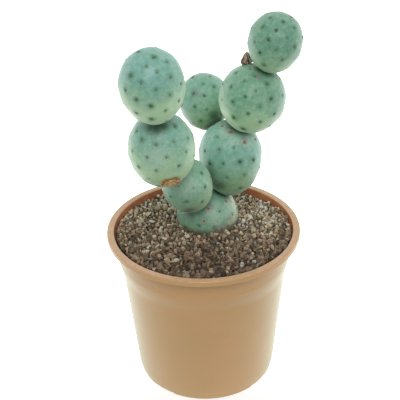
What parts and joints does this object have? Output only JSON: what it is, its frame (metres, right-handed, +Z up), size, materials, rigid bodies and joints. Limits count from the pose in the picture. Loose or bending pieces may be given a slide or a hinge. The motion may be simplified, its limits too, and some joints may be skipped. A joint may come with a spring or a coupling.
{
  "type": "potted tephrocactus",
  "caption": "Potted tephrocactus: a forked stem of round blue-green joints standing in mineral grit, in a round tan plastic pot with a flat lip.",
  "frame": {"origin": "middle of the pot's foot ring, on the surface that the pot stands on", "axes": "+Z up along the pot's axis, -Y towards the side that is seen first, +X to that side's right"},
  "size_m": [0.105, 0.105, 0.2081],
  "materials": {
    "pot_plastic": "satin, moulded",
    "grit_bed": "loose mineral grit",
    "joint_skin": "waxy skin with a pale bloom",
    "root_bark": "rough bark",
    "cork": "rough cork",
    "dry_bud": "dry and papery",
    "stone_pale": "rough",
    "stone_grey": "rough",
    "stone_brown": "rough",
    "stone_tan": "rough"
  },
  "bodies": {
    "root": {"pot": "pot_plastic", "grit_bed": "grit_bed", "taproot": "root_bark", "base_joint": "joint_skin", "lower_left_joint": "joint_skin", "middle_left_joint": "joint_skin", "upper_left_joint": "joint_skin", "lower_right_joint": "joint_skin", "rear_joint": "joint_skin", "upper_right_joint": "joint_skin", "top_right_joint": "joint_skin", "corky_callus": "cork", "dried_bud": "dry_bud", "stone_white_by_stem": "stone_pale", "stone_white_front": "stone_pale", "stone_white_right": "stone_pale", "stone_pale_left": "stone_pale", "stone_grey_left": "stone_pale", "stone_grey_front": "stone_grey", "stone_green_right": "stone_grey", "stone_dark_left": "stone_grey", "stone_grey_centre": "stone_grey", "stone_grey_front_left": "stone_grey", "stone_grey_rear_right": "stone_grey", "stone_brown_right": "stone_brown", "stone_brown_far_right": "stone_brown", "stone_pink_centre": "stone_brown", "stone_yellow_front": "stone_tan", "stone_tan_left": "stone_tan", "stone_tan_front": "stone_tan", "stone_tan_rear_left": "stone_tan"}
  },
  "joints": []
}
